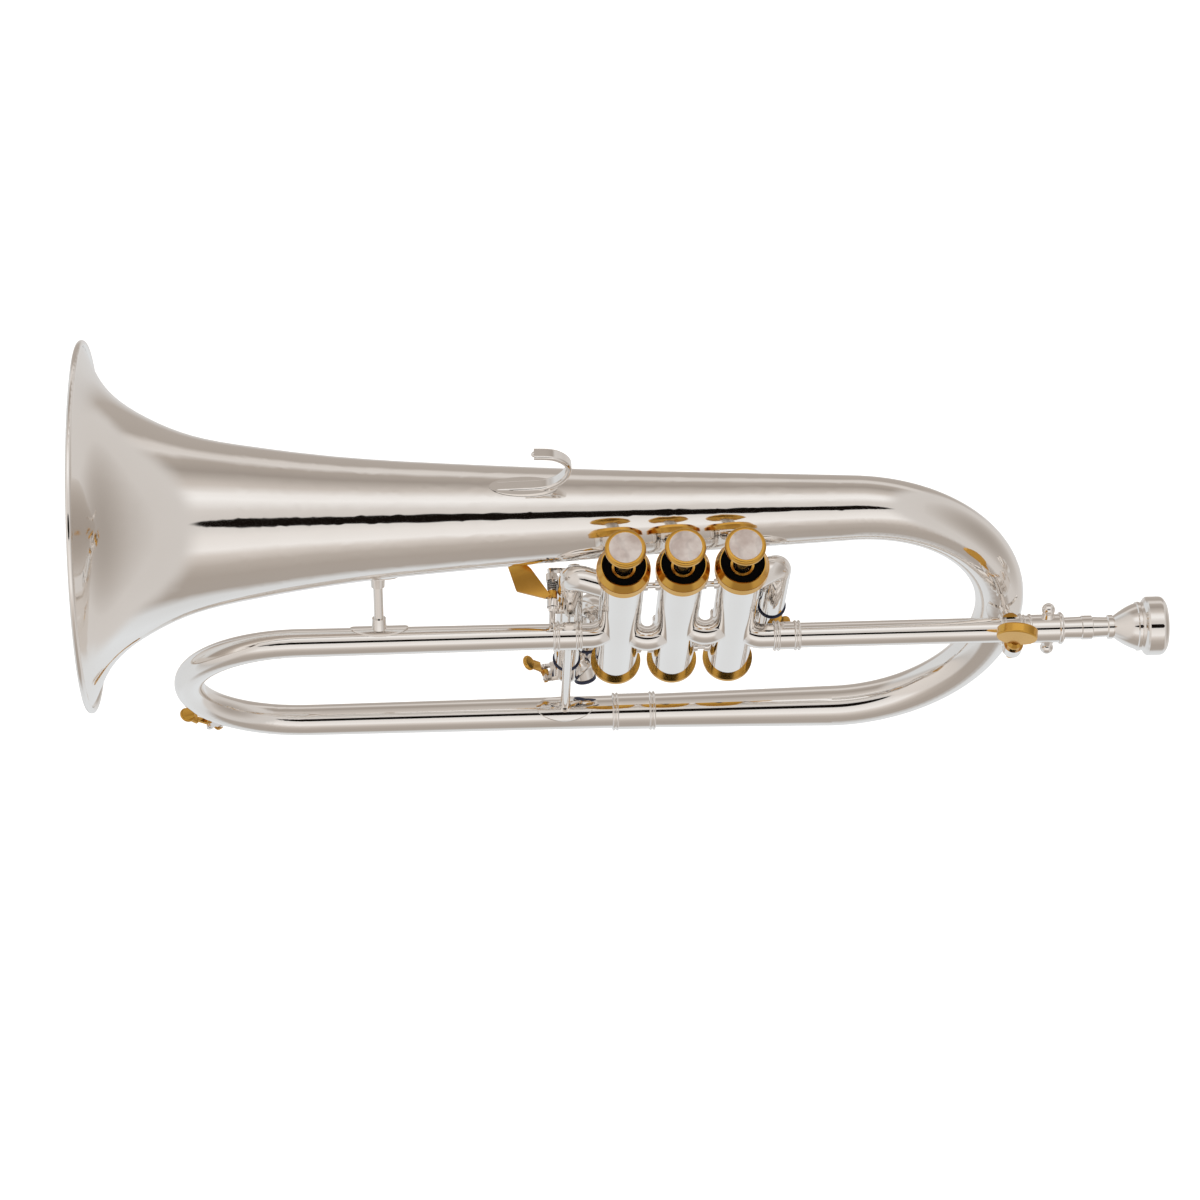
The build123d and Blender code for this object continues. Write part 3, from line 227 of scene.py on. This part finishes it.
def trigger_is_silver(point):
    """The trigger's shaft, its head and its crank, but not the hub and the paddle."""
    pivot = joint_anchor("third_trigger_turn")
    from_axis = hypot(point.x - pivot.x, point.z - pivot.z)
    hub_low, hub_high = pivot.y - 0.0017, pivot.y + 0.0017
    crank = point.y > pivot.y + 0.007 and point.x > pivot.x - 0.003
    return point.y < hub_low or crank or (point.y > hub_high and from_axis < 0.0015)


# Nodes of two metals, with the test for the faces that are silver.
SILVER_PARTS = {"third_trigger": trigger_is_silver}


def dress_nodes():
    """Give every CAD node the look of its material slot."""
    slots = {part["node"]: part["material_slot"] for part in frame["record"]["subparts"]}
    for name, node in frame["nodes"].items():
        node.data.materials.clear()
        node.data.materials.append(LOOKS[slots[name]])
        if name in SILVER_PARTS:
            node.data.materials.append(LOOKS["silver_plate"])
            for face in node.data.polygons:
                face.material_index = int(SILVER_PARTS[name](face.center))


def tinted(light, warmth):
    """Colour of a light: warm above 0, cool below."""
    return tuple(light * (1 + (w - 1) * warmth) for w in WARM)


def studio_world():
    """Light that depends on the angle about the horn's long axis."""
    world = bpy.data.worlds.new("studio")
    bpy.context.scene.world = world
    world.use_nodes = True
    g = Graph(world.node_tree)
    ray = g.add("ShaderNodeTexCoord").outputs["Generated"]
    up = g.add("ShaderNodeVectorMath", {0: ray, 1: UP}, operation="DOT_PRODUCT").outputs["Value"]
    back = g.add("ShaderNodeVectorMath", {0: ray, 1: BACK}, operation="DOT_PRODUCT").outputs["Value"]
    angle = g.math("ARCTAN2", up, back)
    factor = g.add("ShaderNodeMapRange", {"Value": angle, "From Min": radians(-180),
                                          "From Max": radians(180)}).outputs[0]
    lamps, cards = (g.ramp(factor, [((degrees + 180) / 360, tinted(*rest)) for degrees, *rest in table])
                    for table in (STUDIO, BELL_CARDS))
    along = g.add("ShaderNodeVectorMath", {0: ray, 1: RIGHT}, operation="DOT_PRODUCT").outputs["Value"]
    to_player = g.math("GREATER_THAN", along, 0.0)
    along = g.math("ABSOLUTE", along)
    player = g.ramp(along, [(cosine, tinted(*rest)) for cosine, *rest in PLAYER_CARDS])
    cards = g.mix(to_player, cards, player)
    light = g.mix(g.smooth(along, SIDE_FROM, SIDE_TO), lamps, cards)
    across = g.math("DIVIDE", g.math("SUBTRACT", angle, radians(FLAG_MIDDLE)), radians(FLAG_WIDTH))
    length = g.math("DIVIDE", along, FLAG_LENGTH)
    reach = g.math("ADD", g.math("MULTIPLY", across, across), g.math("MULTIPLY", length, length))
    light = g.mix(g.smooth(reach, 0.80, 1.10), (*FLAG_BLACK, 1.0), light)
    background = g.add("ShaderNodeBackground", {"Color": light, "Strength": 1.0})
    g.add("ShaderNodeOutputWorld", {"Surface": background.outputs[0]})


def floor():
    """Pale floor, which the polished metal doesn't mirror."""
    corners = [(x * FLOOR_HALF, y * FLOOR_HALF, FLOOR_Z) for x, y in ((-1, -1), (1, -1), (1, 1), (-1, 1))]
    mesh = bpy.data.meshes.new("floor")
    mesh.from_pydata(corners, [], [(0, 1, 2, 3)])
    plane = bpy.data.objects.new("floor", mesh)
    bpy.context.collection.objects.link(plane)
    mat, g = material("floor_white")
    tone = g.ramp(g.noise(g.place(), 3.0), [(0.3, grey(0.88)), (0.7, grey(0.90))])
    close(g, Base_Color=tone, Roughness=0.9, Emission_Color=(1, 1, 1, 1), Emission_Strength=0.7)
    mesh.materials.append(mat)
    plane.visible_glossy = False


def dome():
    """Plain white backdrop all round, which only the camera sees."""
    ball = bmesh.new()
    bmesh.ops.create_icosphere(ball, subdivisions=4, radius=DOME_R)
    mesh = bpy.data.meshes.new("backdrop")
    ball.to_mesh(mesh)
    ball.free()
    sky = bpy.data.objects.new("backdrop", mesh)
    bpy.context.collection.objects.link(sky)
    mat, g = material("backdrop_white")
    tone = g.ramp(g.noise(g.place(), 0.2), [(0.3, grey(0.98)), (0.7, grey(1.0))])
    shine = g.add("ShaderNodeEmission", {"Color": tone, "Strength": 1.0})
    g.add("ShaderNodeOutputMaterial", {"Surface": shine.outputs[0]})
    mesh.materials.append(mat)
    sky.visible_glossy = sky.visible_diffuse = sky.visible_shadow = False


def camera():
    """Long lens in front of the valves and well above them."""
    data = bpy.data.cameras.new("camera")
    data.lens = LENS_MM
    data.sensor_width = SENSOR_MM
    data.clip_start, data.clip_end = 0.05, 50.0
    view = bpy.data.objects.new("camera", data)
    bpy.context.collection.objects.link(view)
    turn = Matrix((RIGHT, UP, BACK)).transposed()
    view.matrix_world = Matrix.Translation(CAMERA_AT) @ turn.to_4x4()
    bpy.context.scene.camera = view


dress_nodes()
studio_world()
floor()
dome()
camera()
bpy.context.scene.view_settings.view_transform = "Standard"
